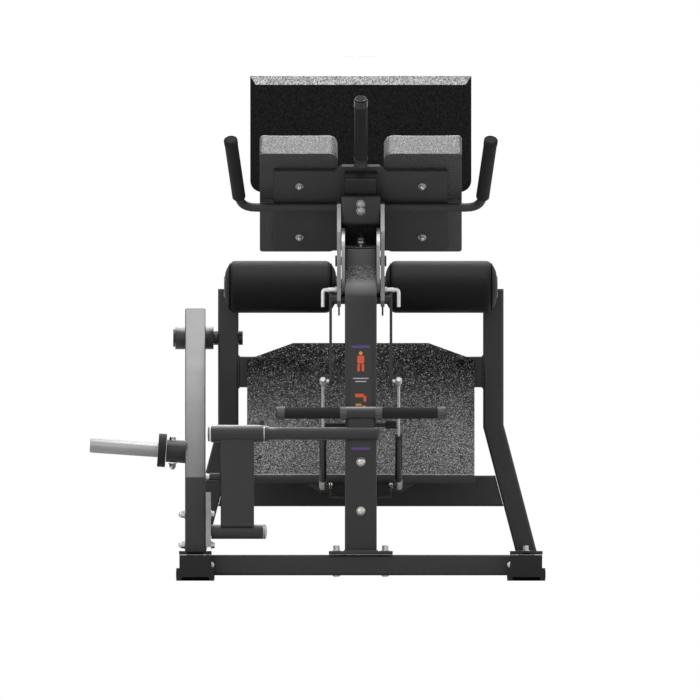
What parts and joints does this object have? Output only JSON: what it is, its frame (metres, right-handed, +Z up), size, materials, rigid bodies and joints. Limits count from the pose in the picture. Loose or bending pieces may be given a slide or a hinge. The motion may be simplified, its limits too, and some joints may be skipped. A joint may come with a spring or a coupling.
{
  "type": "hip extension machine",
  "caption": "Plate-loaded hip and back extension bench with tilting hip pads, leg rollers, sloping foot plate, upright foot board and a weight lever with a T-handle.",
  "frame": {"origin": "on the floor, under the middle of the machine's outer box", "axes": "+Z up, -Y the machine's front (handle side), +X to the right seen from the front"},
  "size_m": [1.3262, 1.344, 1.524],
  "materials": {
    "frame": "dark charcoal textured powder coat",
    "zinc": "light grey zinc plate",
    "chrome": "satin chrome",
    "hardware": "zinc-plated steel",
    "cylinder": "smooth dark enamel",
    "rubber": "moulded rubber",
    "grip": "fine-ribbed rubber",
    "knob": "black plastic",
    "pad": "black leatherette over foam",
    "grit": "black anti-slip grit"
  },
  "bodies": {
    "frame": {"rail_left": "frame", "rail_right": "frame", "front_cross_beam": "frame", "rear_cross_beam": "frame", "foot_front_left": "rubber", "foot_front_right": "rubber", "foot_rear_left": "rubber", "foot_rear_right": "rubber", "centre_post": "frame", "post_cap": "frame", "handle_rest_bar": "hardware", "upright_left": "frame", "upright_right": "frame", "upper_cross_beam": "frame", "lower_cross_beam": "frame", "centre_beam": "frame", "spring_bracket": "frame", "foot_plate": "grit", "foot_plate_cradle": "frame", "mast": "frame", "board_bracket": "frame", "upper_foot_board": "grit", "sector_plate_left": "zinc", "sector_plate_right": "zinc", "tilt_axle": "hardware", "lever_axle": "hardware", "rest_buffer": "rubber"},
    "carriage": {"cheek_plate_left": "zinc", "cheek_plate_right": "zinc", "pad_head": "frame", "pad_mount_plate": "frame", "hip_pad_left": "pad", "hip_pad_right": "pad", "handlebar": "frame", "grip_left": "grip", "grip_right": "grip", "centre_handle": "frame", "centre_grip": "grip", "roller_beam": "frame", "roller_axle": "hardware", "cross_shaft": "frame", "yoke_arm_left": "frame", "yoke_arm_right": "frame"},
    "leg_roller_left": {"roller_left": "pad"},
    "leg_roller_right": {"roller_right": "pad"},
    "pull_pin_left": {"index_pin_left": "chrome"},
    "pull_pin_right": {"index_pin_right": "chrome"},
    "spring_body_left": {"gas_cylinder_left": "cylinder"},
    "spring_body_right": {"gas_cylinder_right": "cylinder"},
    "spring_rod_left": {"gas_rod_left": "chrome"},
    "spring_rod_right": {"gas_rod_right": "chrome"},
    "lever": {"weight_arm": "frame", "weight_horn": "chrome", "swing_pivot": "zinc"},
    "swing": {"swing_arm": "frame"},
    "tee": {"tee_handle": "frame", "tee_grip_left": "grip", "tee_grip_right": "grip"},
    "lock": {"tee_lock_pin": "knob"}
  },
  "joints": [
    {"name": "tilt", "type": "hinge", "parent": "frame", "child": "carriage", "pos_m": [0.1255, -0.50609, 0.9306], "axis": [1, 0, 0], "range_deg": [0, 45]},
    {"name": "roller_spin_left", "type": "hinge", "parent": "carriage", "child": "leg_roller_left", "pos_m": [-0.108, 0.258, 0.8553], "axis": [1, 0, 0], "continuous": true},
    {"name": "roller_spin_right", "type": "hinge", "parent": "carriage", "child": "leg_roller_right", "pos_m": [0.359, 0.258, 0.8553], "axis": [1, 0, 0], "continuous": true},
    {"name": "pin_pull_left", "type": "slide", "parent": "carriage", "child": "pull_pin_left", "axis": [-1, 0, 0], "range_m": [0, 0.018], "stiffness_N_per_m": 300, "springref_m": -0.012},
    {"name": "pin_pull_right", "type": "slide", "parent": "carriage", "child": "pull_pin_right", "axis": [1, 0, 0], "range_m": [0, 0.018], "stiffness_N_per_m": 300, "springref_m": -0.012},
    {"name": "spring_turn_left", "type": "hinge", "parent": "frame", "child": "spring_body_left", "pos_m": [0.0155, -0.04, 0.276], "axis": [1, 0, 0], "range_deg": [-27, 0]},
    {"name": "spring_turn_right", "type": "hinge", "parent": "frame", "child": "spring_body_right", "pos_m": [0.2355, -0.04, 0.276], "axis": [1, 0, 0], "range_deg": [-27, 0]},
    {"name": "spring_slide_left", "type": "slide", "parent": "spring_body_left", "child": "spring_rod_left", "axis": [0, -0.8537, 0.5208], "range_m": [-0.135, 0]},
    {"name": "spring_slide_right", "type": "slide", "parent": "spring_body_right", "child": "spring_rod_right", "axis": [0, -0.8537, 0.5208], "range_m": [-0.135, 0]},
    {"name": "lever_lift", "type": "hinge", "parent": "frame", "child": "lever", "pos_m": [-0.356, 0.375, 0.7066], "axis": [1, 0, 0], "range_deg": [-22, 0]},
    {"name": "swing_turn", "type": "hinge", "parent": "lever", "child": "swing", "pos_m": [-0.3107, -0.61877, 0.1427], "axis": [1, 0, 0], "range_deg": [0, 90]},
    {"name": "tee_turn", "type": "hinge", "parent": "swing", "child": "tee", "pos_m": [-0.1535, -0.6088, 0.4281], "axis": [1, 0, 0], "range_deg": [0, 90]},
    {"name": "lock_pull", "type": "slide", "parent": "swing", "child": "lock", "axis": [0, 0, 1], "range_m": [0, 0.006], "stiffness_N_per_m": 300, "springref_m": -0.008}
  ],
  "couplings": [
    {"joint": "spring_turn_left", "follows": "tilt", "ratio": -0.5838},
    {"joint": "spring_turn_right", "follows": "tilt", "ratio": -0.5838},
    {"joint": "spring_slide_left", "follows": "tilt", "m_per_rad": -0.1678},
    {"joint": "spring_slide_right", "follows": "tilt", "m_per_rad": -0.1678}
  ]
}
